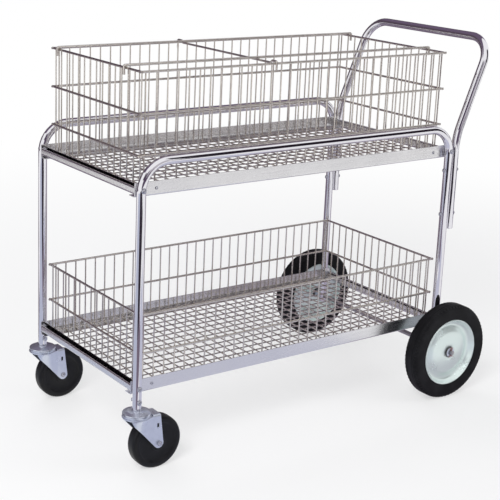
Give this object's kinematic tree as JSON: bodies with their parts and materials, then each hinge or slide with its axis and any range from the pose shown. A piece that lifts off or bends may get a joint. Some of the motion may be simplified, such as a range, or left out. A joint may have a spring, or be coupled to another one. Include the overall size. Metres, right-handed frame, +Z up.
{
  "type": "mail cart",
  "caption": "Two-shelf wire basket cart on bent tube frames, with a raised push handle, large rear wheels, front swivel casters and hanger rails for hanging folders.",
  "frame": {"origin": "floor, under the middle of the cart's length and width", "axes": "+X towards the push handle, +Y to the right of a person who pushes the cart, +Z up"},
  "size_m": [1.0854, 0.609, 0.9464],
  "materials": {
    "chromed_tube": "polished",
    "chromed_wire": "bright",
    "shelf_steel": "satin",
    "zinc_plate": "zinc plated",
    "axle_steel": "bright drawn",
    "hub_paint": "semi-gloss",
    "black_rubber": "matt"
  },
  "bodies": {
    "cart": {"push_handle": "chromed_tube", "left_side_frame": "chromed_tube", "left_handle_bolt_1": "zinc_plate", "left_handle_bolt_2": "zinc_plate", "left_stem_bolt": "zinc_plate", "left_caster_stem": "zinc_plate", "left_wheel_spacer": "zinc_plate", "left_axle_washer": "zinc_plate", "right_side_frame": "chromed_tube", "right_handle_bolt_1": "zinc_plate", "right_handle_bolt_2": "zinc_plate", "right_stem_bolt": "zinc_plate", "right_caster_stem": "zinc_plate", "right_wheel_spacer": "zinc_plate", "right_axle_washer": "zinc_plate", "upper_front_channel": "shelf_steel", "upper_front_left_shelf_bolt": "zinc_plate", "upper_front_right_shelf_bolt": "zinc_plate", "upper_rear_channel": "shelf_steel", "upper_rear_left_shelf_bolt": "zinc_plate", "upper_rear_right_shelf_bolt": "zinc_plate", "upper_left_rail": "shelf_steel", "upper_right_rail": "shelf_steel", "upper_basket_bottom": "chromed_wire", "upper_basket_left": "chromed_wire", "upper_basket_right": "chromed_wire", "upper_basket_front": "chromed_wire", "upper_basket_rear": "chromed_wire", "lower_front_channel": "shelf_steel", "lower_front_left_shelf_bolt": "zinc_plate", "lower_front_right_shelf_bolt": "zinc_plate", "lower_rear_channel": "shelf_steel", "lower_rear_left_shelf_bolt": "zinc_plate", "lower_rear_right_shelf_bolt": "zinc_plate", "lower_left_rail": "shelf_steel", "lower_right_rail": "shelf_steel", "lower_basket_bottom": "chromed_wire", "lower_basket_left": "chromed_wire", "lower_basket_right": "chromed_wire", "lower_basket_front": "chromed_wire", "lower_basket_rear": "chromed_wire", "rear_axle": "axle_steel", "centre_cross_rod": "chromed_wire"},
    "left_hanger": {"left_hanger_rail": "chromed_wire"},
    "left_rear_wheel": {"left_rear_tyre": "black_rubber", "left_rear_hub": "hub_paint", "left_wheel_bush": "zinc_plate"},
    "left_caster": {"left_caster_fork": "zinc_plate", "left_caster_axle": "zinc_plate"},
    "left_caster_roller": {"left_caster_wheel": "black_rubber"},
    "right_hanger": {"right_hanger_rail": "chromed_wire"},
    "right_rear_wheel": {"right_rear_tyre": "black_rubber", "right_rear_hub": "hub_paint", "right_wheel_bush": "zinc_plate"},
    "right_caster": {"right_caster_fork": "zinc_plate", "right_caster_axle": "zinc_plate"},
    "right_caster_roller": {"right_caster_wheel": "black_rubber"}
  },
  "joints": [
    {"name": "left_caster_swivel", "type": "hinge", "parent": "cart", "child": "left_caster", "pos_m": [-0.50875, -0.23, 0.137], "axis": [0, 0, 1], "continuous": true},
    {"name": "left_caster_roll", "type": "hinge", "parent": "left_caster", "child": "left_caster_roller", "pos_m": [-0.46075, -0.23, 0.0635], "axis": [0, 1, 0], "continuous": true},
    {"name": "left_rear_wheel_roll", "type": "hinge", "parent": "cart", "child": "left_rear_wheel", "pos_m": [0.41125, -0.2746, 0.127], "axis": [0, 1, 0], "continuous": true},
    {"name": "right_caster_swivel", "type": "hinge", "parent": "cart", "child": "right_caster", "pos_m": [-0.50875, 0.23, 0.137], "axis": [0, 0, 1], "continuous": true},
    {"name": "right_caster_roll", "type": "hinge", "parent": "right_caster", "child": "right_caster_roller", "pos_m": [-0.46075, 0.23, 0.0635], "axis": [0, 1, 0], "continuous": true},
    {"name": "right_rear_wheel_roll", "type": "hinge", "parent": "cart", "child": "right_rear_wheel", "pos_m": [0.41125, 0.2746, 0.127], "axis": [0, 1, 0], "continuous": true},
    {"name": "left_hanger_slide", "type": "slide", "parent": "cart", "child": "left_hanger", "axis": [0, 1, 0], "range_m": [-0.03, 0.05]},
    {"name": "right_hanger_slide", "type": "slide", "parent": "cart", "child": "right_hanger", "axis": [0, 1, 0], "range_m": [-0.05, 0.008]}
  ]
}
